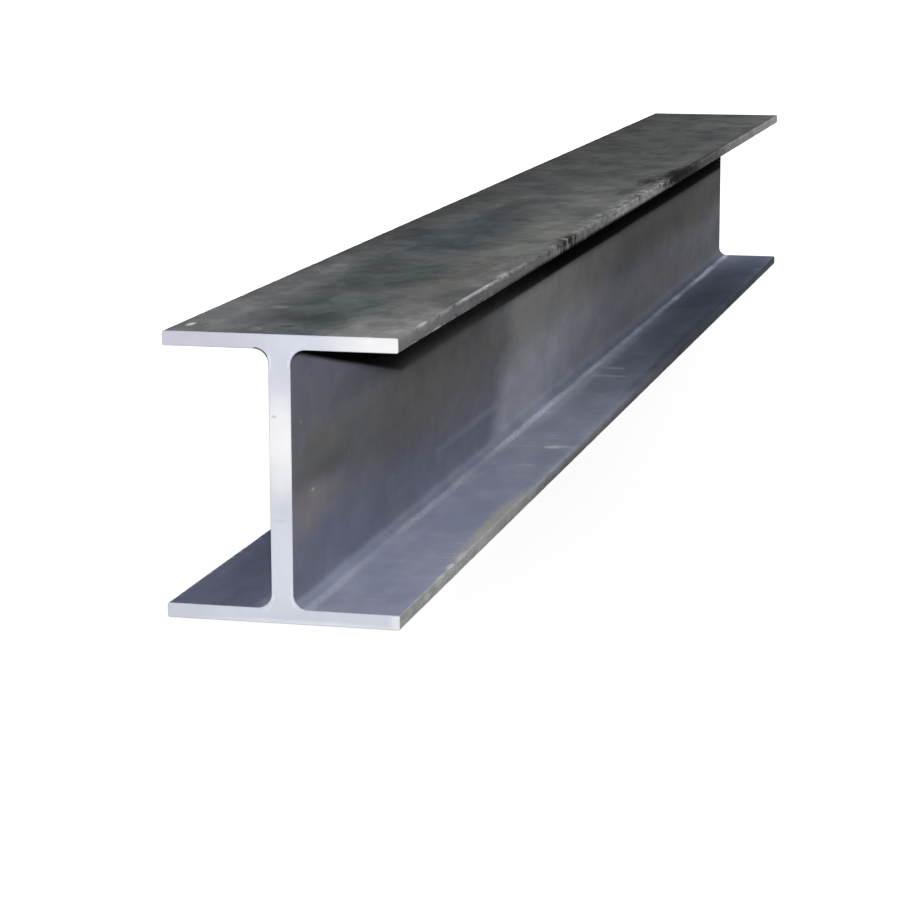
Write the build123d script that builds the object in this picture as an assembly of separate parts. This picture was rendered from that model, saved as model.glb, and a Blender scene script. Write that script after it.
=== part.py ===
"""Hot-rolled wide flange beam, sawn to length.

The beam is one bar of rolled steel with an H section. Two parallel flanges are joined by a
web along their middle. Each inner corner between web and flange has a root fillet, each
flange toe has lightly rounded corners, and the two sawn end faces have their rim broken.

Lengths are in millimetres. +Z is up, +Y runs along the beam and +X across its flanges.
The beam lies on its lower flange, and the origin is the middle of the face it rests on.
"""

import os

from build123d import *

# Driving dimensions of the rolled section
section_depth = 245.0
flange_width = 203.0
flange_thickness = 12.6
web_thickness = 19.0
root_radius = 12.7
toe_radius = 1.6

# Driving dimensions of the cut piece
beam_length = 2438.4
rim_break = 0.6

# Where the section's outline turns, measured from the middle of the lower face
half_width = flange_width / 2
half_web = web_thickness / 2
lower_flange_top = flange_thickness
upper_flange_underside = section_depth - flange_thickness


def section_outline():
    """The sharp-cornered H outline, once round, in the XZ plane."""
    right_side = [
        (half_width, 0),
        (half_width, lower_flange_top),
        (half_web, lower_flange_top),
        (half_web, upper_flange_underside),
        (half_width, upper_flange_underside),
        (half_width, section_depth),
    ]
    left_side = [(-across, height) for across, height in reversed(right_side)]
    return Plane.XZ * Polyline(*right_side, *left_side, close=True)


def distance_from_web(corner):
    """How far a corner of the section lies from the web's middle plane."""
    return abs(corner.X)


def rolled_section():
    """The section as the mill rolls it, with filleted roots and rounded flange toes."""
    section = make_face(section_outline())
    roots = section.vertices().group_by(distance_from_web)[0]
    section = fillet(roots, root_radius)
    toes = section.vertices().group_by(distance_from_web)[-1]
    return fillet(toes, toe_radius)


def wide_flange_beam():
    """The section run along the whole length, with the rim of both sawn faces broken."""
    bar = extrude(rolled_section(), amount=beam_length / 2, both=True)
    sawn_faces = bar.faces().filter_by(Axis.Y)
    return chamfer(sawn_faces.edges(), rim_break)


os.makedirs("parts", exist_ok=True)
export_step(wide_flange_beam(), "parts/wide_flange_beam.step")
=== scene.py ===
"""Wide flange beam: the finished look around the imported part.

The rolled bar is one mesh, swept along its length by a Geometry Nodes tree, with the worn toes
and the gouges of handling in its shape. Its mill scale and its sawn ends are node materials
that read Object coordinates. Lengths are in metres, or in millimetres where a docstring says
so, in the part's own frame: +Z up, +Y along the bar, and the end that faces the camera at -Y.
"""

import logging
import math
from dataclasses import dataclass
from enum import Enum
from functools import cached_property

import bmesh
import bpy
from mathutils import Matrix, Vector


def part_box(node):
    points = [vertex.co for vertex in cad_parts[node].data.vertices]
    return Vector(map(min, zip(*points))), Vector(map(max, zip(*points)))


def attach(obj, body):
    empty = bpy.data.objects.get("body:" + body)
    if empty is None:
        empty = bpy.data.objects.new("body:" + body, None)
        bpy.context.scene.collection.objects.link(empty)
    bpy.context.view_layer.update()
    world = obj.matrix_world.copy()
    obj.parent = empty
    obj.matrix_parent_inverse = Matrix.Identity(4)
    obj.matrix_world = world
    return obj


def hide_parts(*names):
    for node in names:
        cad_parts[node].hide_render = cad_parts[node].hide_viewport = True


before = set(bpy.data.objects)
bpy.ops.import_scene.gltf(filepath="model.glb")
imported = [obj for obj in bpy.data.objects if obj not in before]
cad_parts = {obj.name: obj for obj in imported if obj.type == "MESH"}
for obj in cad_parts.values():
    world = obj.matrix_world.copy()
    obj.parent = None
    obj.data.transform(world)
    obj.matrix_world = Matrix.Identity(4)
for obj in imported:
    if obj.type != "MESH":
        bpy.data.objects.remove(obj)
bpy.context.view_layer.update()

LOG = logging.getLogger("beam")

NODE = "wide_flange_beam"
BODY = "root"
MM = 0.001

# Vertices nearer than this become one; edges that turn by more than this stay sharp; faces
# whose normal points along the bar by more than this are sawn
WELD = 1e-6
SHARP_TURN = math.radians(38)
SAWN_FACING = 0.4

# Three numbers of the frame or of a shader, a screen colour, 0 to 255, and two of those
Triple = tuple[float, float, float]
Screen = tuple[int, int, int]
Pair = tuple[Screen, Screen]


# Node trees written as Python expressions


@dataclass
class Wire:
    """One output socket of a node tree; sums on it add Math nodes."""

    tree: "Tree"
    socket: bpy.types.NodeSocket

    def math(self, operation: str, *others: "float | Wire", clamp: bool = False) -> "Wire":
        """Feed this wire and others to a Math node.

        Args:
            operation: The Math node's operation.
            others: The node's further inputs, wires or numbers.
            clamp: Whether the result is held between 0 and 1.

        Returns:
            The node's output.
        """
        settings = {"operation": operation, "use_clamp": clamp}
        return self.tree.add("ShaderNodeMath", settings, dict(enumerate((self, *others))))

    def __add__(self, other: "float | Wire") -> "Wire":
        """This plus other."""
        return self.math("ADD", other)

    def __sub__(self, other: "float | Wire") -> "Wire":
        """This minus other."""
        return self.math("SUBTRACT", other)

    def __mul__(self, other: "float | Wire") -> "Wire":
        """This times other."""
        return self.math("MULTIPLY", other)

    def __truediv__(self, other: "float | Wire") -> "Wire":
        """This over other."""
        return self.math("DIVIDE", other)

    def __radd__(self, other: float) -> "Wire":
        """A number plus this."""
        return self.math("ADD", other)

    def __rmul__(self, other: float) -> "Wire":
        """A number times this."""
        return self.math("MULTIPLY", other)

    def __rsub__(self, other: float) -> "Wire":
        """A number minus this."""
        settings = {"operation": "SUBTRACT"}
        return self.tree.add("ShaderNodeMath", settings, {0: other, 1: self})

    def __rtruediv__(self, other: float) -> "Wire":
        """A number over this."""
        settings = {"operation": "DIVIDE"}
        return self.tree.add("ShaderNodeMath", settings, {0: other, 1: self})

    def __abs__(self) -> "Wire":
        """The size of this without its sign."""
        return self.math("ABSOLUTE")

    def least(self, other: "float | Wire") -> "Wire":
        """The smaller of this and other."""
        return self.math("MINIMUM", other)

    def most(self, other: "float | Wire") -> "Wire":
        """The larger of this and other."""
        return self.math("MAXIMUM", other)

    def held(self) -> "Wire":
        """This held between 0 and 1."""
        return self.math("ADD", 0.0, clamp=True)

    def ramp(self, low: "float | Wire", high: "float | Wire") -> "Wire":
        """How far this has risen from low to high, smoothly, from 0 to 1.

        Args:
            low: Where the rise starts; it may be above high, for a fall.
            high: Where the rise ends.

        Returns:
            The share, eased at both ends.
        """
        settings = {"interpolation_type": "SMOOTHSTEP"}
        return self.tree.add("ShaderNodeMapRange", settings, {0: self, 1: low, 2: high})


class Tree:
    """A node tree that is filled by one method for any kind of node."""

    def __init__(self, tree: bpy.types.NodeTree) -> None:
        """Take over a tree and empty it."""
        self.tree = tree
        tree.nodes.clear()

    def make(
        self, kind: str, settings: "dict | None" = None, inputs: "dict | None" = None
    ) -> bpy.types.Node:
        """Add a node.

        Args:
            kind: The node's type name.
            settings: Its properties, set before its sockets.
            inputs: Values or wires for its sockets, by name or by place.

        Returns:
            The node.
        """
        node = self.tree.nodes.new(kind)
        for name, value in (settings or {}).items():
            setattr(node, name, value)
        for key, value in (inputs or {}).items():
            socket = node.inputs[key]
            if isinstance(value, Wire):
                self.tree.links.new(value.socket, socket)
            else:
                socket.default_value = value
        return node

    def add(
        self,
        kind: str,
        settings: "dict | None" = None,
        inputs: "dict | None" = None,
        out: "int | str" = 0,
    ) -> Wire:
        """Add a node as make does.

        Args:
            kind: The node's type name.
            settings: Its properties.
            inputs: Values or wires for its sockets.
            out: The output that is wanted, by name or by place.

        Returns:
            That output.
        """
        return Wire(self, self.make(kind, settings, inputs).outputs[out])

    def mix(
        self, first: "Triple | Wire", second: "Triple | Wire", share: "float | Wire",
        blend: str = "MIX",
    ) -> Wire:
        """Blend two colours.

        Args:
            first: The colour at share 0.
            second: The colour at share 1.
            share: How much of the second shows.
            blend: How the second is laid on the first.

        Returns:
            The blended colour.
        """
        settings = {"data_type": "RGBA", "blend_type": blend, "clamp_factor": True}
        inputs = {0: share, 6: _colour(first), 7: _colour(second)}
        return self.add("ShaderNodeMix", settings, inputs, out=2)

    def paint(self, colour: "Triple | Wire", screen: Screen, share: "float | Wire") -> Wire:
        """Lay a screen colour over a colour, as far as share says."""
        return self.mix(colour, srgb(*screen), share)

    def tint(
        self, colour: "Triple | Wire", by: "Triple | Wire", share: "float | Wire" = 1.0
    ) -> Wire:
        """Multiply a colour by another, as far as share says."""
        return self.mix(colour, by, share, "MULTIPLY")

    def vector(self, operation: str, *inputs: "Triple | Wire") -> Wire:
        """Feed vectors to a Vector Math node and return its vector."""
        return self.add("ShaderNodeVectorMath", {"operation": operation}, dict(enumerate(inputs)))

    def length(self, vector: Wire) -> Wire:
        """The length of a vector."""
        settings = {"operation": "LENGTH"}
        return self.add("ShaderNodeVectorMath", settings, {0: vector}, out="Value")

    def grey(self, level: Wire) -> Wire:
        """A grey of that level as a colour."""
        return self.add("ShaderNodeCombineColor", None, {0: level, 1: level, 2: level})


def _colour(value: "Triple | Wire") -> "tuple | Wire":
    """A colour with its alpha, or the wire as it is."""
    return value if isinstance(value, Wire) else (*value, 1.0)


def srgb(red: int, green: int, blue: int) -> Triple:
    """A screen colour, 0 to 255, as the linear colour that a shader takes.

    Args:
        red: Its red.
        green: Its green.
        blue: Its blue.

    Returns:
        The linear colour.
    """
    def linear(value: int) -> float:
        """One channel without its gamma."""
        share = value / 255.0
        return share / 12.92 if share <= 0.04045 else ((share + 0.055) / 1.055) ** 2.4

    return linear(red), linear(green), linear(blue)


# The rolled bar


@dataclass(frozen=True)
class Gouge:
    """A stretch of a flange toe that was torn in handling.

    Attributes:
        start: Distance of its start from the near end.
        end: Distance of its end from the near end.
        depth: How deep the deepest tears reach.
    """

    start: float
    end: float
    depth: float


@dataclass
class RolledBar:
    """The bar of H section, from its sizes to its finished mesh.

    Attributes:
        width: Across the flanges.
        depth: From the lower flange's outer face to the upper one's.
        length: Along the bar.
        flange: Thickness of a flange.
        web: Thickness of the web.
        root: Radius of the fillets between web and flanges.
        toe: Radius of the flange toes' corners.
        rim: Width of the broken rim of the sawn faces.
        rows: How many rings of points the bar has along its length.
        crowding: How much closer the rings stand at the ends than evenly, from 0 to 1.
        gouges: The torn stretches of the upper right toe.
        wave: How far the rolled faces are from flat.
        toe_wear: How deep the toes are worn.
        seed: Seed of the relief.
    """

    width: float
    depth: float
    length: float
    flange: float = 12.6 * MM
    web: float = 19.0 * MM
    root: float = 12.7 * MM
    toe: float = 1.6 * MM
    rim: float = 0.6 * MM
    rows: int = 500
    crowding: float = 0.7
    gouges: "tuple[Gouge, ...]" = (
        Gouge(0.590, 0.770, 1.6 * MM),
        Gouge(1.120, 1.180, 1.0 * MM),
        Gouge(1.350, 1.545, 2.2 * MM),
    )
    wave: float = 0.12 * MM
    toe_wear: float = 0.3 * MM
    seed: int = 11

    def _quarter(self) -> "list[tuple[float, float, float, float]]":
        """The lower right quarter of the outline, from the middle of the lower face to the web.

        Returns:
            Points as across, height and the outward direction's two parts.
        """
        across, up, down = (1.0, 0.0), (0.0, 1.0), (0.0, -1.0)
        reach, half_web = self.width / 2, self.web / 2
        points: "list[tuple[float, float, float, float]]" = []

        def run(start: tuple, end: tuple, out: tuple, steps: int) -> None:
            """Add a straight run without its last point.

            Args:
                start: Its first point.
                end: The point after its last.
                out: The outward direction.
                steps: How many points it has.
            """
            for step in range(steps):
                share = step / steps
                points.append((
                    start[0] + (end[0] - start[0]) * share,
                    start[1] + (end[1] - start[1]) * share, *out,
                ))

        def turn(centre: tuple, radius: float, first: float, last: float, steps: int) -> None:
            """Add an arc without its last point; a negative radius bends inwards.

            Args:
                centre: Its middle.
                radius: Its radius.
                first: Its first angle in degrees.
                last: Its last angle.
                steps: How many points it has.
            """
            for step in range(steps):
                angle = math.radians(first + (last - first) * step / steps)
                x, z = math.cos(angle), math.sin(angle)
                sign = math.copysign(1.0, radius)
                points.append((
                    centre[0] + abs(radius) * x, centre[1] + abs(radius) * z, sign * x, sign * z,
                ))

        toe_x = reach - self.toe
        run((0.0, 0.0), (toe_x, 0.0), down, 9)
        turn((toe_x, self.toe), self.toe, -90, 0, 3)
        run((reach, self.toe), (reach, self.flange - self.toe), across, 4)
        turn((toe_x, self.flange - self.toe), self.toe, 0, 90, 3)
        root_x, root_z = half_web + self.root, self.flange + self.root
        run((toe_x, self.flange), (root_x, self.flange), up, 10)
        turn((root_x, root_z), -self.root, 270, 180, 8)
        run((half_web, root_z), (half_web, self.depth / 2), across, 11)
        return points

    def outline(self) -> "list[tuple[float, float, float, float]]":
        """The whole outline once round, each point with its outward direction.

        Returns:
            Points as across, height and the outward direction's two parts.
        """
        lower = self._quarter()
        middle = (self.web / 2, self.depth / 2, 1.0, 0.0)
        upper = [(x, self.depth - z, nx, -nz) for x, z, nx, nz in reversed(lower)]
        right = [*lower, middle, *upper]
        left = [(-x, z, -nx, nz) for x, z, nx, nz in reversed(right[1:-1])]
        return right + left

    def section_wire(self) -> bpy.types.Object:
        """The outline as a closed ring of edges that carries the section as attributes.

        Returns:
            The ring's object, which becomes the bar.
        """
        ring = self.outline()
        mesh = bpy.data.meshes.new(NODE + "_section")
        edges = [(i, (i + 1) % len(ring)) for i in range(len(ring))]
        mesh.from_pydata([(x, z, 0.0) for x, z, _, _ in ring], edges, [])
        for name, column in (("across", 0), ("height", 1), ("out_across", 2), ("out_height", 3)):
            layer = mesh.attributes.new(name, "FLOAT", "POINT")
            layer.data.foreach_set("value", [point[column] for point in ring])
        wire = bpy.data.objects.new("rolled_bar", mesh)
        bpy.context.scene.collection.objects.link(wire)
        return wire

    def sweep_tree(self) -> "tuple[bpy.types.NodeTree, dict[str, str]]":
        """Build the tree that rolls the section along the bar and wears it.

        Returns:
            The tree, and each input's identifier by its name.
        """
        group = bpy.data.node_groups.new("roll_bar", "GeometryNodeTree")
        face = group.interface
        face.new_socket("Geometry", in_out="OUTPUT", socket_type="NodeSocketGeometry")
        sockets = {"Geometry": "Geometry", "Length": "Float", "Rows": "Int", "Crowding": "Float",
                   "Rim": "Float", "Half Width": "Float", "Depth": "Float", "Wave": "Float",
                   "Toe Wear": "Float", "Seed": "Float", "Scale": "Material", "Sawn": "Material"}
        names = {
            name: face.new_socket(name, in_out="INPUT", socket_type="NodeSocket" + kind).identifier
            for name, kind in sockets.items()
        }
        tree = Tree(group)
        entry = tree.make("NodeGroupInput")
        given = {name: Wire(tree, entry.outputs[name]) for name in sockets}
        solid = self._swept(tree, given)
        solid = self._worn(tree, given, solid)
        solid = self._dressed(tree, given, solid)
        tree.make("NodeGroupOutput", None, {"Geometry": solid})
        return group, names

    @staticmethod
    def _swept(tree: Tree, given: "dict[str, Wire]") -> Wire:
        """The section swept along a line whose points crowd towards both ends.

        Args:
            tree: The tree.
            given: The tree's inputs by name.

        Returns:
            The plain bar.
        """
        line = tree.add("GeometryNodeCurvePrimitiveLine", None, {"End": (0.0, 1.0, 0.0)})
        line = tree.add("GeometryNodeResampleCurve", {"mode": "COUNT"},
                        {"Curve": line, "Count": given["Rows"]})
        index = tree.add("GeometryNodeInputIndex")
        last = given["Rows"] - 1.0
        tip = index.math("LESS_THAN", 0.5).most(index.math("GREATER_THAN", last - 0.5))
        way = ((index - 1.0) / (last - 2.0) * 2.0 - 1.0).most(-1.0).least(1.0)
        even = way * (1.0 - given["Crowding"])
        crowded = (way * (math.pi / 2)).math("SINE") * given["Crowding"]
        along = (even + crowded) * (given["Length"] * 0.5 - given["Rim"])
        along = along + way * tip * given["Rim"]
        place = tree.add("ShaderNodeCombineXYZ", None, {1: along})
        line = tree.add("GeometryNodeSetPosition", None, {"Geometry": line, "Position": place})
        line = tree.add("GeometryNodeStoreNamedAttribute",
                        {"data_type": "FLOAT", "domain": "POINT"},
                        {"Geometry": line, "Name": "tip", "Value": tip})
        section = tree.add("GeometryNodeMeshToCurve", None, {"Mesh": given["Geometry"]})
        return tree.add("GeometryNodeCurveToMesh", None,
                        {"Curve": line, "Profile Curve": section, "Fill Caps": True})

    def _worn(self, tree: Tree, given: "dict[str, Wire]", solid: Wire) -> Wire:
        """The bar with its rim broken, its faces a little uneven and its toes worn.

        Args:
            tree: The tree.
            given: The tree's inputs by name.
            solid: The plain bar.

        Returns:
            The worn bar.
        """
        def named(name: str) -> Wire:
            """A number stored on the points."""
            return tree.add("GeometryNodeInputNamedAttribute", {"data_type": "FLOAT"},
                            {"Name": name})

        across, height, tip = named("across"), named("height"), named("tip")
        place = tree.add("GeometryNodeInputPosition")
        along = tree.add("ShaderNodeSeparateXYZ", None, {0: place}, out=1)
        spot = tree.add("ShaderNodeCombineXYZ", None, {0: across, 1: along, 2: height})

        def noise(stretch: Triple, size: float, detail: float = 2.0) -> Wire:
            """Noise from 0 to 1 over the bar.

            Args:
                stretch: A factor along each axis.
                size: Its waves a metre before those factors.
                detail: How many finer layers it has.

            Returns:
                The noise.
            """
            at = tree.vector("MULTIPLY", spot, stretch)
            return tree.add("ShaderNodeTexNoise", {"noise_dimensions": "4D"},
                            {"Vector": at, "W": given["Seed"], "Scale": size, "Detail": detail})

        from_near = along + given["Length"] * 0.5
        wave = noise((1.0, 0.35, 1.0), 9.0) * given["Wave"]
        on_toe = abs(across).ramp(given["Half Width"] - 5.0 * MM, given["Half Width"] - 0.5 * MM)
        ragged = noise((1.0, 1.0, 1.0), 55.0, 4.0).ramp(0.42, 0.72)
        wear = on_toe * ragged * given["Toe Wear"]
        upper = height.ramp(given["Depth"] - 9.0 * MM, given["Depth"] - 3.0 * MM)
        right = across.ramp(given["Half Width"] - 7.0 * MM, given["Half Width"])
        tears = noise((1.0, 1.0, 0.35), 75.0, 3.0).ramp(0.44, 0.60)
        torn, ease = 0.0, 20.0 * MM
        for gouge in self.gouges:
            inside = (from_near.ramp(gouge.start, gouge.start + ease)
                      * from_near.ramp(gouge.end, gouge.end - ease))
            torn = inside * gouge.depth + torn
        gouged = torn * upper * right * tears
        rim = tip * given["Rim"]
        inward = (wave + wear + gouged) * (1.0 - tip) + rim + tip * wear
        new_across = across - named("out_across") * inward
        new_height = height - named("out_height") * inward
        moved = tree.add("ShaderNodeCombineXYZ", None, {0: new_across, 1: along, 2: new_height})
        solid = tree.add("GeometryNodeStoreNamedAttribute",
                         {"data_type": "FLOAT", "domain": "POINT"},
                         {"Geometry": solid, "Name": "torn", "Value": (gouged / (1.0 * MM)).held()})
        return tree.add("GeometryNodeSetPosition", None, {"Geometry": solid, "Position": moved})

    @staticmethod
    def _dressed(tree: Tree, given: "dict[str, Wire]", solid: Wire) -> Wire:
        """The bar as real geometry with the sawn finish on its end faces.

        Args:
            tree: The tree.
            given: The tree's inputs by name.
            solid: The worn bar.

        Returns:
            The finished bar.
        """
        normal = tree.add("GeometryNodeInputNormal")
        facing = abs(tree.add("ShaderNodeSeparateXYZ", None, {0: normal}, out=1))
        sawn = facing.math("GREATER_THAN", SAWN_FACING)
        solid = tree.add("GeometryNodeRealizeInstances", None, {"Geometry": solid})
        solid = tree.add("GeometryNodeSetMaterial", None,
                         {"Geometry": solid, "Material": given["Scale"]})
        return tree.add("GeometryNodeSetMaterial", None,
                        {"Geometry": solid, "Selection": sawn, "Material": given["Sawn"]})

    def build(self, scale: bpy.types.Material, sawn: bpy.types.Material) -> bpy.types.Object:
        """Make the bar's mesh and lay the two finishes on it.

        Args:
            scale: The finish of the rolled faces.
            sawn: The finish of the two end faces.

        Returns:
            The finished piece, a plain mesh at the origin.
        """
        wire = self.section_wire()
        group, names = self.sweep_tree()
        modifier = wire.modifiers.new("roll", "NODES")
        modifier.node_group = group
        values = {"Length": self.length, "Rows": self.rows, "Crowding": self.crowding,
                  "Rim": self.rim, "Half Width": self.width / 2, "Depth": self.depth,
                  "Wave": self.wave, "Toe Wear": self.toe_wear, "Seed": float(self.seed),
                  "Scale": scale, "Sawn": sawn}
        for name, value in values.items():
            modifier[names[name]] = value
        evaluated = wire.evaluated_get(bpy.context.evaluated_depsgraph_get())
        mesh = bpy.data.meshes.new_from_object(evaluated)
        wire.modifiers.remove(modifier)
        wire.data = mesh
        mesh.name = "rolled_bar"
        self._tidy(mesh)
        return wire

    @staticmethod
    def _tidy(mesh: bpy.types.Mesh) -> None:
        """Turn the faces outwards and shade the bar smooth between its sharp edges.

        Args:
            mesh: The bar's mesh.
        """
        work = bmesh.new()
        work.from_mesh(mesh)
        bmesh.ops.remove_doubles(work, verts=work.verts, dist=WELD)
        bmesh.ops.recalc_face_normals(work, faces=work.faces)
        work.to_mesh(mesh)
        work.free()
        mesh.shade_smooth()
        mesh.set_sharp_from_angle(angle=SHARP_TURN)


# Finishes


class Edge(Enum):
    """How a patch's edge is broken up: the waves a metre of its noise, across and along."""

    CLOUD = (26.0, 16.0)
    TORN = (150.0, 70.0)


@dataclass(frozen=True)
class Patch:
    """An area of another tint, an ellipsoid that the surface cuts.

    Attributes:
        at: Its middle in millimetres: across from the web, along from the near end, and height.
        reach: Its half sizes in millimetres, the same three ways.
        tint: Its colour on a screen.
        strength: How much of the tint shows in its middle.
        edge: How its edge is broken up.
        ragged: How far the noise pushes its edge in and out, as a share of its reach.
        soft: How wide its edge is, as a share of its reach.
    """

    at: Triple
    reach: Triple
    tint: Screen
    strength: float = 0.8
    edge: Edge = Edge.CLOUD
    ragged: float = 1.2
    soft: float = 0.5

    def over(self, colour: "Triple | Wire", here: "Surface") -> Wire:
        """Lay the patch over a colour.

        Args:
            colour: The colour under it.
            here: The surface point.

        Returns:
            The colour with the patch on it.
        """
        tree = here.tree
        apart = tree.vector("SUBTRACT", here.spot, tuple(place * MM for place in self.at))
        apart = tree.vector("MULTIPLY", apart, tuple(1.0 / (size * MM) for size in self.reach))
        far = tree.length(apart) + (here.torn_edge(self.edge) - 0.5) * self.ragged
        mask = far.ramp(1.0 + self.soft, 1.0 - self.soft) * self.strength
        return tree.paint(colour, self.tint, mask)


class Surface:
    """The measures of the surface point that every finish of the bar reads."""

    def __init__(self, finish: bpy.types.Material, bar: RolledBar) -> None:
        """Work out the point: across from the web, along from the near end, and height.

        Args:
            finish: The material that is being made.
            bar: The bar that it lies on.
        """
        finish.use_nodes = True
        tree = Tree(finish.node_tree)
        self.tree = tree
        self.bar = bar
        place = tree.add("ShaderNodeTexCoord", out="Object")
        self.spot = tree.vector("ADD", place, (0.0, bar.length / 2, 0.0))
        parts = tree.make("ShaderNodeSeparateXYZ", None, {0: self.spot})
        self.across, self.along, self.height = (Wire(tree, parts.outputs[i]) for i in range(3))
        self.aside = abs(self.across)
        self._edges: "dict[Edge, Wire]" = {}

    def noise(
        self, across: float, along: float, detail: float = 2.0, seed: float = 0.0,
        roughness: float = 0.5,
    ) -> Wire:
        """Noise around 0.5.

        Args:
            across: Its waves a metre across the section.
            along: Its waves a metre along the bar.
            detail: How many finer layers it has.
            seed: Shifts it.
            roughness: How strong the finer layers are.

        Returns:
            The noise.
        """
        at = self.tree.vector("MULTIPLY", self.spot, (across, along, across))
        at = self.tree.vector("ADD", at, (seed * 7.3, seed * 3.1, seed * 5.7))
        return self.tree.add(
            "ShaderNodeTexNoise", None,
            {"Vector": at, "Scale": 1.0, "Detail": detail, "Roughness": roughness})

    def torn_edge(self, edge: Edge) -> Wire:
        """The noise that breaks up the edges of patches of that kind.

        Args:
            edge: The kind.

        Returns:
            The noise, the same one for every patch.
        """
        if edge not in self._edges:
            self._edges[edge] = self.noise(*edge.value, 3.0, 3.5, 0.65)
        return self._edges[edge]

    @cached_property
    def clouds(self) -> Wire:
        """Soft noise from -0.5 to 0.5."""
        return self.torn_edge(Edge.CLOUD) - 0.5

    @cached_property
    def away(self) -> Wire:
        """How far along the bar the point is, from 0 to 1, with a wavering front."""
        return (self.along + self.clouds * 0.3).ramp(0.05, 1.9)

    @cached_property
    def right(self) -> Wire:
        """Whether the point lies right of the web."""
        return self.across.ramp(-4.0 * MM, 4.0 * MM)

    @cached_property
    def high(self) -> Wire:
        """Whether the point lies in the upper half of the bar."""
        return self.height.ramp(0.1, 0.12)

    @cached_property
    def lip(self) -> Wire:
        """Whether the point lies level with the upper face or close under it."""
        return self.near_top(6.0, 1.0)

    @cached_property
    def fleck(self) -> Wire:
        """The fine noise that tears flecks out of the scale."""
        return self.noise(430, 90, 4.0, 8.5, 0.62)

    @cached_property
    def flake(self) -> Wire:
        """The coarser noise of flaking scale."""
        return self.noise(110, 40, 4.0, 16.0, 0.65)

    @cached_property
    def patchy(self) -> Wire:
        """The broad noise that says where an edge is rubbed."""
        return self.noise(11, 7, 2.0, 9.5)

    def fade(self, pair: Pair) -> Wire:
        """A pair's tint at this distance from the near end, partly painted fall-off of the light.
        """
        return self.tree.mix(srgb(*pair[0]), srgb(*pair[1]), self.away)

    def between(self, low: float, high: float, soft: float) -> Wire:
        """Whether the point lies from low to high along the bar, eased over soft."""
        return self.along.ramp(low - soft, low + soft) * self.along.ramp(high + soft, high - soft)

    def near_right(self, start: float, full: float) -> Wire:
        """A rise towards the right edge, between two distances from it in millimetres."""
        reach = self.bar.width / 2
        return self.across.ramp(reach - start * MM, reach - full * MM)

    def near_edges(self, start: float, full: float) -> Wire:
        """The same towards both edges."""
        reach = self.bar.width / 2
        return self.aside.ramp(reach - start * MM, reach - full * MM)

    def near_top(self, start: float, full: float) -> Wire:
        """The same towards the top of the bar."""
        depth = self.bar.depth
        return self.height.ramp(depth - start * MM, depth - full * MM)

    def specks(self, cells: float, size: float, share: float, seed: float) -> Wire:
        """Small round specks in some of the cells of a random lattice.

        Args:
            cells: How many cells a metre holds.
            size: A speck's reach as a share of a cell.
            share: The share of the cells that hold a speck.
            seed: Shifts the lattice.

        Returns:
            The mask.
        """
        tree = self.tree
        at = tree.vector("ADD", self.spot, (seed, seed, seed))
        node = tree.make("ShaderNodeTexVoronoi", {"feature": "F1"}, {"Vector": at, "Scale": cells})
        close = Wire(tree, node.outputs["Distance"]).ramp(size, size * 0.4)
        pick = tree.add("ShaderNodeSeparateColor", None, {0: Wire(tree, node.outputs["Color"])})
        return close * pick.math("LESS_THAN", share)

    def bump(self, height: Wire, strength: float, distance: float) -> Wire:
        """The normal of a surface with that height, in shares of distance."""
        return self.tree.add("ShaderNodeBump", None,
                             {"Strength": strength, "Distance": distance, "Height": height})

    def shade(self, colour: Wire, rough: Wire, gloss: float, normal: Wire) -> None:
        """Close the material with its shader.

        Args:
            colour: Its base colour.
            rough: Its roughness.
            gloss: Its specular level, the same all over.
            normal: Its normal.
        """
        shader = self.tree.add("ShaderNodeBsdfPrincipled", None, {
            "Base Color": colour, "Roughness": rough, "Specular IOR Level": gloss,
            "Normal": normal})
        self.tree.make("ShaderNodeOutputMaterial", None, {"Surface": shader})


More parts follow.
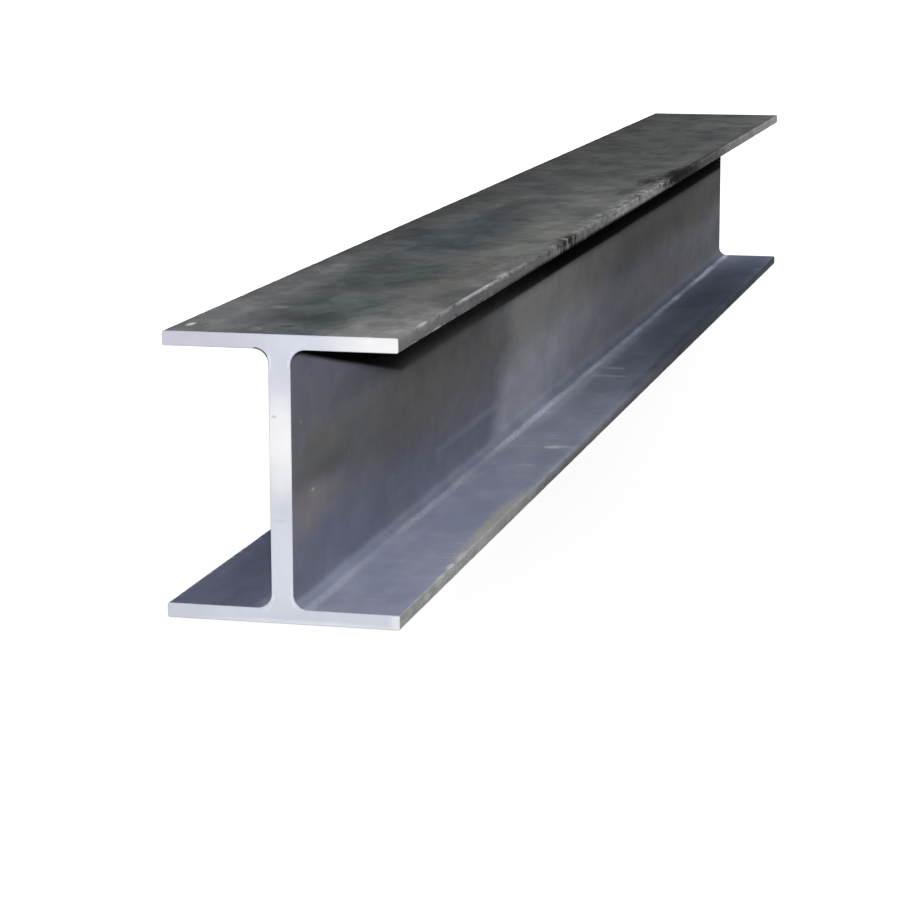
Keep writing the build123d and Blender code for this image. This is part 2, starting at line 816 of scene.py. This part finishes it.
@dataclass(frozen=True)
class MillScale:
    """The dark oxide skin of the rolled faces.

    Every pair of tints is that of a face at the near end and at the far end; where the far tint is
    darker, that is partly painted shade, the fall-off of the lamp light along the bar.

    Attributes:
        name: The material's name.
        top: The upper face.
        top_rim: The dark rim along its left edge.
        web: The upper half of the web.
        low_web: The lower half of the web.
        root: The lower root fillets.
        lower: The lower flange's upper face, right of the web.
        left: The same, left of the web, painted darker as painted shade of the web.
        toe: The upper flange's right toe.
        left_toe: Its left toe.
        low_toe: The toes of the lower flange.
        underside_shade: The undersides, painted dark as painted shade.
        strip: The painted shadow of the upper flange on the web, near black, right of the web.
        patches: The areas of other tints.
    """

    name: str = "mill_scale"
    top: Pair = ((113, 118, 120), (85, 87, 87))
    top_rim: Screen = (44, 46, 46)
    web: Pair = ((138, 141, 149), (94, 93, 92))
    low_web: Pair = ((136, 140, 161), (111, 112, 118))
    root: Pair = ((168, 172, 196), (104, 109, 123))
    lower: Pair = ((186, 190, 218), (143, 148, 168))
    left: Pair = ((122, 127, 151), (104, 109, 124))
    toe: Pair = ((138, 136, 143), (150, 151, 149))
    left_toe: Screen = (66, 68, 70)
    low_toe: Pair = ((208, 210, 210), (90, 92, 97))
    underside_shade: Screen = (56, 57, 60)
    strip: Pair = ((22, 23, 25), (32, 33, 36))
    patches: "tuple[Patch, ...]" = (
        # upper face, broad
        Patch((82, 40, 245), (38, 120, 10), (172, 171, 171), 0.85, soft=0.7),
        Patch((-82, 160, 245), (34, 340, 10), (150, 153, 155), 0.65, soft=0.7),
        Patch((-6, 110, 245), (30, 42, 10), (84, 89, 89), 0.6, ragged=0.8),
        Patch((8, 380, 245), (55, 130, 10), (90, 95, 98), 0.65),
        Patch((-84, 310, 245), (18, 100, 10), (140, 139, 138), 0.6),
        Patch((22, 640, 245), (30, 130, 10), (88, 93, 97), 0.5, soft=0.7),
        Patch((70, 360, 245), (26, 240, 10), (128, 128, 122), 0.7, soft=0.7),
        Patch((90, 460, 245), (13, 220, 10), (152, 153, 150), 0.5, soft=0.7),
        Patch((64, 820, 245), (34, 250, 10), (128, 130, 124), 0.7, soft=0.7),
        Patch((-15, 720, 245), (45, 240, 10), (88, 93, 100), 0.65, ragged=0.9, soft=0.7),
        Patch((-98, 1050, 245), (34, 520, 10), (76, 78, 79), 0.7, ragged=0.8, soft=0.7),
        Patch((60, 1220, 245), (36, 160, 10), (118, 119, 117), 0.65, soft=0.7),
        Patch((83, 1570, 245), (18, 70, 6), (120, 120, 118), 0.5, soft=0.7),
        Patch((38, 1680, 245), (16, 40, 6), (104, 104, 103), 0.4, soft=0.7),
        # upper face, small pale marks near the end
        Patch((-89, 39, 245), (3.1, 9, 10), (250, 252, 252), 0.95, ragged=0.2),
        Patch((-72, 25, 245), (10, 7, 10), (140, 146, 136), 0.5, Edge.TORN),
        Patch((-28, 24, 245), (5.5, 9, 10), (152, 157, 157), 0.6, Edge.TORN, 2.8),
        Patch((-44, 152, 245), (7.5, 9, 10), (176, 180, 181), 0.65, Edge.TORN, 1.8),
        Patch((-65, 238, 245), (6.5, 10, 10), (150, 153, 154), 0.5, Edge.TORN, 2.2),
        Patch((-73, 439, 245), (7.5, 12, 10), (150, 152, 153), 0.5, Edge.TORN, 2.2),
        Patch((-6, 45, 245), (6, 5, 10), (60, 64, 64), 0.6, Edge.TORN, 2.0),
        # upper face, dark nicks by the right edge
        Patch((77, 1180, 245), (10, 30, 6), (50, 51, 50), 0.4, Edge.TORN, 2.8),
        Patch((86, 1310, 245), (14, 45, 6), (30, 31, 30), 0.8, Edge.TORN, 2.2, 0.9),
        Patch((100, 1420, 243), (12, 100, 8), (24, 24, 24), 0.85, Edge.TORN, 2.4),
        # right edge of the upper flange: bright arris and flecks, partly worn metal and partly
        # painted highlight; a stretch of the toe and the toe's foot painted dark as painted shade
        Patch((100.3, 280, 244.8), (1.6, 60, 1.8), (240, 241, 241), 0.9, Edge.TORN, 0.8),
        Patch((100.3, 85, 244.8), (1.4, 16, 1.4), (226, 227, 227), 0.8, Edge.TORN, 0.8),
        Patch((98.5, 400, 245), (3.5, 18, 4), (200, 201, 199), 0.75, Edge.TORN, 1.6),
        Patch((101.2, 130, 233.6), (3, 14, 1.8), (230, 231, 231), 0.85, Edge.TORN, 0.8),
        Patch((101.5, 1600, 239), (6, 240, 12), (38, 38, 39), 0.6, Edge.TORN, 1.5),
        Patch((101.5, 1490, 239), (6, 110, 12), (26, 26, 27), 0.6, Edge.TORN, 1.2),
        Patch((101.5, 880, 232.5), (6, 640, 3.2), (26, 26, 27), 0.75, Edge.TORN, 0.8),
        # web
        Patch((9.5, 530, 118), (6, 420, 48), (117, 116, 115), 0.8, ragged=0.45, soft=0.8),
        Patch((9.5, 500, 150), (6, 170, 14), (92, 92, 92), 0.5, soft=0.8),
        Patch((9.5, 45, 92), (6, 90, 20), (162, 156, 156), 0.65, ragged=0.6, soft=0.6),
        Patch((9.5, 115, 116), (6, 70, 11), (100, 100, 94), 0.45, ragged=0.8, soft=0.8),
        Patch((9.5, 100, 136), (6, 80, 18), (126, 127, 127), 0.6, ragged=0.8, soft=0.6),
        Patch((9.5, 29, 167), (4, 3.5, 1.2), (190, 194, 200), 0.7, Edge.TORN),
        Patch((9.5, 62, 103), (4, 6, 1.4), (196, 194, 196), 0.7, Edge.TORN),
        Patch((9.5, 690, 52), (6, 160, 4), (158, 162, 176), 0.5, Edge.TORN, 1.2, 0.8),
        # lower flange
        Patch((101.5, 1350, 3), (4, 600, 8), (74, 76, 80), 0.45, ragged=0.8),
        # painted shade: the lower flange left of the web, darker where the web keeps the lamp light
        # off
        Patch((-55, 500, 12.6), (60, 360, 6), (80, 85, 99), 0.8, ragged=0.8, soft=0.8),
        Patch((101.5, 660, 2), (4, 160, 7), (104, 106, 110), 0.45, Edge.TORN, 1.0),
        Patch((101.2, 140, 10.5), (2, 18, 2.6), (238, 239, 235), 0.85, Edge.TORN, 1.4),
        Patch((101.4, 92, 6.5), (2, 12, 3), (236, 238, 234), 0.7, Edge.TORN, 1.4),
        Patch((98, 380, 12.6), (9, 120, 6), (210, 210, 199), 0.9, Edge.TORN, 1.4),
        Patch((70, 850, 12.6), (50, 450, 6), (186, 191, 212), 0.6, soft=0.8),
        Patch((34, 140, 12.6), (14, 300, 4), (206, 210, 235), 0.4, soft=0.8),
        # painted shade: the lower flange darker towards the far end, the fall-off of the lamp light
        Patch((74, 1740, 12.6), (60, 660, 6), (90, 96, 110), 0.85, ragged=0.4, soft=0.8),
        Patch((74, 2050, 12.6), (60, 380, 6), (68, 74, 88), 0.7, ragged=0.4, soft=0.7),
        Patch((97, 1550, 12.6), (7, 360, 4), (72, 76, 86), 0.6, soft=0.7),
        Patch((28.5, 1020, 12.6), (8, 480, 4), (226, 230, 240), 0.22, soft=0.8),
        Patch((84, 747, 12.6), (15, 8, 6), (226, 230, 240), 0.6, Edge.TORN, 2.0),
        Patch((76, 742, 12.6), (7, 7, 6), (246, 249, 255), 0.85, Edge.TORN, 1.2),
        Patch((68, 643, 12.6), (10, 6, 6), (214, 218, 234), 0.5, Edge.TORN, 2.2),
        Patch((100, 182, 12.6), (2.4, 10, 2), (246, 248, 246), 0.9, Edge.TORN, 0.8),
        Patch((100, 226, 12.6), (3.2, 20, 3), (222, 224, 221), 0.8, Edge.TORN, 1.6),
        Patch((52, 1210, 12.6), (18, 9, 6), (196, 200, 214), 0.35, Edge.TORN, 2.6),
        Patch((45, 1270, 12.6), (16, 8, 6), (196, 200, 212), 0.4, Edge.TORN, 2.6),
    )

    def material(self, bar: RolledBar) -> bpy.types.Material:
        """Build the finish.

        Args:
            bar: The bar that it lies on.

        Returns:
            A node material on Object coordinates.
        """
        made = bpy.data.materials.new(self.name)
        here = Surface(made, bar)
        upper = here.near_top(2.0, 0.8)
        colour = here.tree.mix(self._rolled_faces(here), self._top_face(here), upper)
        colour = self._toes(here, colour)
        for patch in self.patches:
            colour = patch.over(colour, here)
        colour = self._mottled(here, colour, upper)
        colour = self._flaking_edge(here, colour)
        colour = self._rubbed_edges(here, colour)
        colour = self._scratched_roots(here, colour)
        colour = here.tree.paint(colour, (205, 207, 210), here.specks(70.0, 0.10, 0.10, 0.3) * 0.5)
        rough = 0.52 + here.torn_edge(Edge.CLOUD) * 0.26
        here.shade(colour, rough, 0.0, self._relief(here))
        return made

    def _top_face(self, here: Surface) -> Wire:
        """The upper face, lighter towards its right edge.

        Args:
            here: The surface point.

        Returns:
            Its colour.
        """
        tree = here.tree
        tilt = here.across.ramp(-0.11, 0.11) * 0.34 + 0.85
        face = tree.tint(here.fade(self.top), tree.grey(tilt))
        return tree.paint(face, self.top_rim, here.across.ramp(-96.5 * MM, -99.5 * MM) * 0.8)

    def _web(self, here: Surface) -> Wire:
        """The web, with its paler stretch of painted reflection and the painted shadow under the
        upper flange.

        Args:
            here: The surface point.

        Returns:
            Its colour.
        """
        tree, along, height = here.tree, here.along, here.height
        drift = (here.noise(9, 3, seed=2.5) - 0.5) * 0.05
        web = tree.mix(here.fade(self.low_web), here.fade(self.web),
                       (height + drift).ramp(0.07, 0.13))
        # the paler stretch, a painted reflection, from a slanting and wavering line onwards
        waver = (here.noise(26, 12, 3.0, 17.0) - 0.5) * 0.15
        line = along - height.most(0.055) * 0.75 - 0.718 + waver
        pale = line.ramp(-0.045, 0.055) * along.ramp(1.60, 0.86) * here.right
        pale = pale * height.ramp(0.26, 0.09) * (height.ramp(0.035, 0.085) * 0.25 + 0.75)
        web = tree.tint(web, (2.15, 2.12, 1.92), pale)
        # painted light: a little bluer and lighter high up at the near end, where the strip lamp's
        # shadow falls
        web = tree.tint(web, (1.13, 1.13, 1.22),
                        height.ramp(0.145, 0.170) * along.ramp(0.42, 0.22) * here.right)
        # painted shadow of the upper flange, near black on the right, its lower edge sinking away
        # from the near end as the key lamp's shadow does; a softer painted shade under the flange
        # on both sides
        start = (0.2288 - along * 0.205).most(0.1557)
        deep = (height + drift * 0.06 - start).ramp(-1.5 * MM, 4.0 * MM) * here.right
        soft = height.ramp(0.150, 0.170) * along.ramp(0.10, 0.45) * 0.6
        return tree.mix(web, here.fade(self.strip), deep.most(soft))

    def _rolled_faces(self, here: Surface) -> Wire:
        """The web, the root fillets, the lower flange and the undersides.

        Args:
            here: The surface point.

        Returns:
            Their colour.
        """
        tree, bar = here.tree, here.bar
        skew = here.aside - here.height + (here.noise(60, 20, seed=3.0) - 0.5) * 5.0 * MM
        root = tree.mix(self._web(here), here.fade(self.root), skew.ramp(-11.5 * MM, -3.0 * MM))
        lower = tree.mix(here.fade(self.left), here.fade(self.lower), here.right)
        above = here.height.ramp(bar.flange - 0.2 * MM, bar.flange + 0.8 * MM)
        top = bar.depth - bar.flange
        # painted shade: the upper root fillets under the upper flange take the dark underside tint
        under = here.height.ramp(top - bar.root * 0.8, top - bar.root * 0.1)
        colour = tree.paint(tree.mix(lower, root, above), self.underside_shade, under)
        # painted shade: the bottom face, which rests on the floor, takes the dark underside tint
        return tree.mix(srgb(*self.underside_shade), colour, here.height.ramp(0.5 * MM, 1.5 * MM))

    def _toes(self, here: Surface, colour: Wire) -> Wire:
        """The flange toes, the upper right one flaking bright along a stretch.

        Args:
            here: The surface point.
            colour: Its colour so far.

        Returns:
            The colour with the toes laid on.
        """
        tree = here.tree
        bright = here.between(0.88, 1.33, 0.09) * (here.flake.ramp(0.40, 0.60) * 0.5 + 0.18)
        upper = tree.paint(here.fade(self.toe), (214, 215, 212), bright)
        upper = tree.mix(srgb(*self.left_toe), upper, here.right)
        toe = tree.mix(here.fade(self.low_toe), upper, here.high)
        worn = here.noise(70, 22, 4.0, 8.0, 0.6).ramp(0.34, 0.68) * 0.3 + 0.85
        return tree.mix(colour, tree.tint(toe, tree.grey(worn)), here.near_edges(1.3, 0.6))

    @staticmethod
    def _mottled(here: Surface, colour: Wire, upper: Wire) -> Wire:
        """The tints broken up by blotches, rolling streaks and grain.

        Args:
            here: The surface point.
            colour: Its colour so far.
            upper: Whether it is on the upper face, which is blotched most.

        Returns:
            The colour broken up.
        """
        tree = here.tree
        blotch = here.noise(17, 7, 5.0, 4.5, 0.58)
        colour = tree.tint(colour, srgb(255, 252, 246), blotch.ramp(0.50, 0.66) * 0.6)
        colour = tree.tint(colour, srgb(246, 250, 255), blotch.ramp(0.50, 0.36) * 0.6)
        clouds = (here.noise(20, 4.5, 3.0, 5.5) - 0.5) * 0.36
        patchy = (blotch.ramp(0.36, 0.66) - 0.5) * 0.24
        small = here.noise(62, 40, 3.0, 12.0, 0.6).ramp(0.38, 0.62) - 0.5
        scuffs = here.noise(22, 100, 3.0, 13.0).ramp(0.56, 0.70) * blotch.ramp(0.44, 0.60)
        stains = here.noise(24, 15, 4.0, 18.0, 0.55).ramp(0.46, 0.54) - 0.5
        patchy = (patchy + small * 0.12 + stains * 0.20) * (upper * 0.70 + 0.30)
        patchy = patchy + scuffs * here.aside.ramp(20.0 * MM, 26.0 * MM) * 0.15
        streaks = (here.noise(190, 3.0, 2.0, 6.5) - 0.5) * 0.10
        grain = (here.noise(420, 300, 2.0, 7.5) - 0.5) * (upper * 0.12 + 0.12)
        shade = 1.0 + clouds * (1.0 - upper * 0.5) + patchy
        return tree.tint(colour, tree.grey(shade * (1.0 + streaks) * (1.0 + grain)))

    @staticmethod
    def _flaking_edge(here: Surface, colour: Wire) -> Wire:
        """The upper right edge, sooty, flaking bright and torn in turns.

        Args:
            here: The surface point.
            colour: Its colour so far.

        Returns:
            The colour with the edge laid on.
        """
        tree = here.tree
        torn = tree.add("ShaderNodeAttribute", {"attribute_name": "torn"}, out="Fac")
        colour = tree.paint(colour, (56, 56, 56), (torn * 1.5).held() * 0.6)
        dark = here.fleck.ramp(0.48, 0.40) * here.near_right(34.0, 1.0) * here.lip
        handled = here.between(0.42, 1.34, 0.12) * 0.7 + 0.3
        dark = dark * here.patchy.ramp(0.46, 0.60) * handled
        colour = tree.paint(colour, (60, 60, 59), dark * 0.35)
        bright = here.near_right(22.0, 3.0) * here.between(0.80, 1.34, 0.08) * here.lip
        colour = tree.paint(colour, (160, 161, 158), bright * 0.18)
        colour = tree.paint(colour, (206, 207, 203), bright * here.flake.ramp(0.46, 0.64) * 0.45)
        strokes = here.noise(14, 52, 4.0, 14.0, 0.6)
        ripped = here.near_right(9.0, 4.0) * here.between(0.61, 0.80, 0.03) * here.high
        colour = tree.paint(colour, (204, 205, 202), ripped * strokes.ramp(0.50, 0.64) * 0.5)
        return tree.paint(colour, (42, 42, 42), ripped * strokes.ramp(0.49, 0.37) * 0.75)

    @staticmethod
    def _rubbed_edges(here: Surface, colour: Wire) -> Wire:
        """The edges rubbed bright, partly a painted highlight along the arrises near the end, and
        the flecks on the toes.

        Args:
            here: The surface point.
            colour: Its colour so far.

        Returns:
            The colour with the flecks laid on.
        """
        tree, bar, height, fleck = here.tree, here.bar, here.height, here.fleck
        # the upper flange's right toe, along its two arrises near the end: worn bright, partly
        # painted highlight
        arris = here.near_right(3.4, 1.8) * here.between(0.05, 0.50, 0.06) * here.near_top(3.4, 1.8)
        foot = bar.depth - bar.flange
        low = here.near_right(1.6, 0.8) * here.along.ramp(0.55, 0.25)
        low = low * height.ramp(foot + 3.0 * MM, foot + 1.4 * MM) * here.high
        broken = here.flake.ramp(0.42, 0.60)
        colour = tree.paint(colour, (206, 207, 207), (arris + low) * broken * 0.6)
        # flecks over the edge of the upper face
        edge = here.near_right(7.0, 1.0) * here.lip
        handled = here.near_right(34.0, 1.0) * here.lip * here.between(0.42, 1.34, 0.12)
        rubbed = here.patchy.ramp(0.58, 0.42) * (here.along.ramp(1.5, 1.3) * 0.7 + 0.3)
        light = (edge * 0.75 + handled * 0.45).held() * rubbed
        light = fleck.ramp(0.64 - edge * 0.06, 0.70 - edge * 0.04) * light
        colour = tree.paint(colour, (214, 215, 211), light * 0.85)
        dull = fleck.ramp(0.44, 0.36) * here.near_edges(1.3, 0.6)
        colour = tree.paint(colour, (52, 52, 52), dull * 0.2)
        # flecks over the upper edges of the lower flange
        edge = (here.near_edges(6.0, 1.0)
                * height.ramp(bar.flange - 5.0 * MM, bar.flange - 1.0 * MM)
                * height.ramp(bar.flange + 3.0 * MM, bar.flange + 1.0 * MM))
        edge = edge * (here.along.ramp(1.0, 0.6) * 0.75 + 0.05)
        return tree.paint(colour, (206, 208, 204), edge * fleck.ramp(0.54, 0.64))

    @staticmethod
    def _scratched_roots(here: Surface, colour: Wire) -> Wire:
        """The pale scratched streak along the lower root fillets.

        Args:
            here: The surface point.
            colour: Its colour so far.

        Returns:
            The colour with the streak laid on.
        """
        height = here.height
        waver = (here.noise(30, 7, seed=11.0) - 0.5) * 5.0 * MM
        off = here.aside - height + waver - 9.5 * MM
        streak = abs(off).ramp(7.5 * MM, 1.0 * MM)
        streak = streak * height.ramp(0.05, 0.03) * height.ramp(1.0 * MM, 5.0 * MM)
        strong = here.patchy.ramp(0.36, 0.58) * 0.35 + here.between(0.74, 1.02, 0.08) * 0.40 + 0.20
        streak = streak * strong * (here.right * 0.7 + 0.3)
        broken = here.fleck.ramp(0.34, 0.66) * 0.6 + 0.4
        return here.tree.paint(colour, (236, 242, 255), streak * broken)

    @staticmethod
    def _relief(here: Surface) -> Wire:
        """The fine pitting and the flat scabs of the scale.

        Args:
            here: The surface point.

        Returns:
            The bumped normal.
        """
        pits = here.noise(800, 800, 2.0, 11.5, 0.6)
        scabs = here.noise(120, 60, 2.0, 12.5)
        return here.bump(pits * 0.35 + scabs, 0.4, 0.25 * MM)


@dataclass(frozen=True)
class SawnSteel:
    """The bright bare metal of the two sawn faces.

    Attributes:
        name: The material's name.
        steel: The tint of most of the face.
        patches: Lighter and duller areas of the near face, painted highlights and painted shade of
            the light across it, and two small grey marks.
    """

    name: str = "sawn_steel"
    steel: Screen = (209, 212, 223)
    patches: "tuple[Patch, ...]" = (
        # painted highlights and painted shade of the light across the near face
        Patch((0, 0, 153), (20, 20, 36), (246, 246, 247), 0.9, ragged=0.3, soft=0.7),
        Patch((0, 0, 50), (20, 20, 34), (220, 225, 237), 0.7, ragged=0.3, soft=0.6),
        Patch((95, 0, 239), (45, 20, 20), (242, 242, 243), 0.9, ragged=0.3, soft=0.7),
        Patch((-70, 0, 239), (45, 20, 20), (197, 199, 211), 0.8, ragged=0.3, soft=0.6),
        Patch((15, 0, 236), (18, 20, 14), (214, 219, 232), 0.6),
        Patch((-35, 0, 8), (30, 20, 10), (215, 218, 230), 0.7),
        Patch((75, 0, 9), (30, 20, 9), (212, 215, 226), 0.7),
        Patch((20, 0, 0), (90, 20, 3.5), (232, 235, 242), 0.7, ragged=0.6),
        Patch((101, 0, 5), (7, 20, 10), (238, 241, 245), 0.7, ragged=0.6),
        # two small grey marks
        Patch((-5, 0, 176), (2.2, 20, 1.2), (150, 155, 166), 0.45, Edge.TORN),
        Patch((-2, 0, 88), (6, 20, 1.2), (186, 190, 202), 0.35, Edge.TORN),
    )

    def material(self, bar: RolledBar) -> bpy.types.Material:
        """Build the finish.

        Args:
            bar: The bar that it lies on.

        Returns:
            A node material on Object coordinates.
        """
        made = bpy.data.materials.new(self.name)
        here = Surface(made, bar)
        tree = here.tree
        near = here.along.ramp(10.0 * MM, 5.0 * MM)
        colour = srgb(*self.steel)
        for patch in self.patches:
            colour = patch.over(colour, here)
        away = self._from_fillet(here)
        colour = tree.paint(colour, (240, 243, 250), self._strokes(here, away) * near * 0.5)
        colour = tree.paint(colour, (46, 46, 50), self._sliver(here, away) * near)
        saw = tree.vector("MULTIPLY", here.spot, (60.0, 1.0, 1700.0))
        lines = tree.add("ShaderNodeTexNoise", None, {"Vector": saw, "Scale": 1.0, "Detail": 1.0})
        haze = here.noise(55, 45, 4.0, 3.0, 0.6)
        shade = 1.0 + (lines - 0.5) * 0.06 + (haze - 0.5) * 0.16
        colour = tree.tint(colour, tree.grey(shade))
        here.shade(colour, 0.45 + haze * 0.2, 0.3, here.bump(lines, 0.3, 0.1 * MM))
        return made

    @staticmethod
    def _from_fillet(here: Surface) -> Wire:
        """Distance from the middle line of the nearest root fillet.

        Args:
            here: The surface point.

        Returns:
            The distance.
        """
        bar = here.bar
        middle = bar.depth / 2
        across = here.aside - (bar.web / 2 + bar.root)
        height = middle - abs(here.height - middle) - (bar.flange + bar.root)
        return (across * across + height * height).math("SQRT")

    @staticmethod
    def _strokes(here: Surface, away: Wire) -> Wire:
        """Faint broken strokes that hug the four root fillets.

        Args:
            here: The surface point.
            away: Distance from the nearest fillet's middle line.

        Returns:
            The mask.
        """
        bar = here.bar
        away = away + here.clouds * 7.0 * MM
        stroke = abs(away - (bar.root + 2.4 * MM)).ramp(1.5 * MM, 0.4 * MM)
        broken = here.torn_edge(Edge.TORN).ramp(0.42, 0.56)
        return stroke * broken * here.aside.ramp(bar.web / 2 + bar.root * 0.9, bar.web / 2)

    @staticmethod
    def _sliver(here: Surface, away: Wire) -> Wire:
        """A dark sliver round the upper left fillet.

        Args:
            here: The surface point.
            away: Distance from the nearest fillet's middle line.

        Returns:
            The mask.
        """
        bar = here.bar
        side = here.across.ramp(-24.0 * MM, -20.0 * MM) * here.across.ramp(-9.0 * MM, -11.0 * MM)
        upper = here.height.ramp(0.2, 0.21)
        return away.ramp(bar.root + 1.8 * MM, bar.root + 1.1 * MM) * side * upper


# Studio


@dataclass(frozen=True)
class Softbox:
    """A soft lamp.

    Attributes:
        name: The lamp's name.
        place: Where it hangs.
        aim: The point it faces.
        size: Its width and height.
        power: Its power in watts.
    """

    name: str
    place: Triple
    aim: Triple
    size: "tuple[float, float]"
    power: float

    def hang(self) -> bpy.types.Object:
        """Put the lamp in the scene.

        Returns:
            The lamp.
        """
        data = bpy.data.lights.new(self.name, "AREA")
        data.shape = "RECTANGLE"
        data.size, data.size_y = self.size
        data.energy = self.power
        lamp = bpy.data.objects.new(self.name, data)
        turn = (Vector(self.aim) - Vector(self.place)).to_track_quat("-Z", "Y")
        lamp.matrix_world = Matrix.Translation(self.place) @ turn.to_matrix().to_4x4()
        lamp.visible_camera = False
        bpy.context.scene.collection.objects.link(lamp)
        return lamp


@dataclass
class Studio:
    """The pale floor, the white surroundings and the lamps.

    Attributes:
        ambient: How strongly the white surroundings light the bar.
        floor_reach: How far the floor runs each way.
        floor_drop: How far it lies under the bar.
        floor_grey: How pale it is where it is lit.
    """

    ambient: float = 0.07
    floor_reach: float = 30.0
    floor_drop: float = 0.5 * MM
    floor_grey: float = 0.35

    def floor(self) -> bpy.types.Object:
        """Lay the floor just under the bar.

        Returns:
            The floor.
        """
        mesh = bpy.data.meshes.new("floor")
        corners = [(-1, -1), (1, -1), (1, 1), (-1, 1)]
        reach, height = self.floor_reach, -self.floor_drop
        mesh.from_pydata([(x * reach, y * reach, height) for x, y in corners], [], [(0, 1, 2, 3)])
        floor = bpy.data.objects.new("floor", mesh)
        bpy.context.scene.collection.objects.link(floor)
        made = bpy.data.materials.new("pale_floor")
        made.use_nodes = True
        tree = Tree(made.node_tree)
        grey = (self.floor_grey,) * 3
        lit = tree.add("ShaderNodeBsdfDiffuse", None, {"Color": (*grey, 1.0)})
        place = tree.add("ShaderNodeTexCoord", out="Object")
        place = tree.vector("MULTIPLY", place, (1.0, 0.4, 0.0))
        strength = 0.82 + tree.length(place).ramp(0.35, 1.3) * 0.18
        glow = tree.add("ShaderNodeEmission", None, {"Color": (1, 1, 1, 1), "Strength": strength})
        both = tree.add("ShaderNodeAddShader", None, {0: lit, 1: glow})
        shader = tree.add("ShaderNodeMixShader", None, {0: _seen(tree), 1: lit, 2: both})
        tree.make("ShaderNodeOutputMaterial", None, {"Surface": shader})
        mesh.materials.append(made)
        return floor

    def surroundings(self) -> None:
        """Fill the world with white that lights the bar only softly."""
        world = bpy.data.worlds.new("white_surroundings")
        world.use_nodes = True
        bpy.context.scene.world = world
        tree = Tree(world.node_tree)
        strength = _seen(tree) * (1.0 - self.ambient) + self.ambient
        glow = tree.add("ShaderNodeBackground", None,
                        {"Color": (1, 1, 1, 1), "Strength": strength})
        tree.make("ShaderNodeOutputWorld", None, {"Surface": glow})

    def lamps(self) -> "list[bpy.types.Object]":
        """Hang the lamps.

        Returns:
            The lamps.
        """
        boxes = (
            Softbox("key", (0.735, -3.581, 0.749), (0.0, -1.2, 0.12), (0.09, 0.09), 57.0),
            Softbox("strip", (1.7265, 1.9, 1.558), (0.0, 1.9, 0.12), (2.4, 0.28), 42.0),
            Softbox("overhead", (0.0, 0.0, 2.6), (0.0, 0.0, 0.0), (1.4, 3.0), 11.0),
            Softbox("left", (-2.2, 0.3, 1.4), (0.0, 0.0, 0.1), (1.2, 1.2), 30.0),
            Softbox("rear", (-0.6, 4.2, 1.6), (0.0, 1.0, 0.1), (1.4, 1.4), 45.0),
        )
        return [box.hang() for box in boxes]


def _seen(tree: Tree) -> Wire:
    """Whether a ray comes from the camera, a reflection or a transmission, as 1 or 0.

    Args:
        tree: The material's tree.

    Returns:
        The answer.
    """
    path = tree.make("ShaderNodeLightPath")
    camera, glossy, through = (
        Wire(tree, path.outputs[name])
        for name in ("Is Camera Ray", "Is Glossy Ray", "Is Transmission Ray")
    )
    return camera.most(glossy).most(through)


@dataclass(frozen=True)
class PhotoCamera:
    """The camera at the photograph's viewing angle.

    Attributes:
        place: Where it stands.
        right: The direction of the picture's right.
        down: The direction of the picture's bottom.
        lens: Its focal length in millimetres.
        sensor: Its sensor's width in millimetres.
        farthest: How far it sees.
    """

    place: Triple = (0.6793, -3.40416, 0.59692)
    right: Triple = (0.97145, 0.237233, -0.002453)
    down: Triple = (0.04342, -0.187949, -0.981219)
    lens: float = 112.528
    sensor: float = 36.0
    farthest: float = 100.0

    def mount(self) -> bpy.types.Object:
        """Put the camera in the scene.

        Returns:
            The camera.
        """
        data = bpy.data.cameras.new("photo_camera")
        data.sensor_width = self.sensor
        data.lens = self.lens
        data.clip_end = self.farthest
        camera = bpy.data.objects.new("photo_camera", data)
        right, up = Vector(self.right), -Vector(self.down)
        back = right.cross(up)
        turn = Matrix((right, up, back)).transposed().to_4x4()
        camera.matrix_world = Matrix.Translation(self.place) @ turn
        bpy.context.scene.collection.objects.link(camera)
        bpy.context.scene.camera = camera
        return camera


def main() -> None:
    """Build the beam, the studio and the camera, in that order."""
    logging.basicConfig(level=logging.INFO, format="%(name)s: %(message)s")
    bpy.context.scene.view_settings.view_transform = "Standard"
    low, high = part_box(NODE)
    bar = RolledBar(width=high.x - low.x, depth=high.z - low.z, length=high.y - low.y)
    piece = bar.build(MillScale().material(bar), SawnSteel().material(bar))
    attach(piece, BODY)
    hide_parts(NODE)
    LOG.info("%s: %d faces", piece.name, len(piece.data.polygons))
    studio = Studio()
    studio.floor()
    studio.surroundings()
    studio.lamps()
    PhotoCamera().mount()


if __name__ == "__main__":
    main()
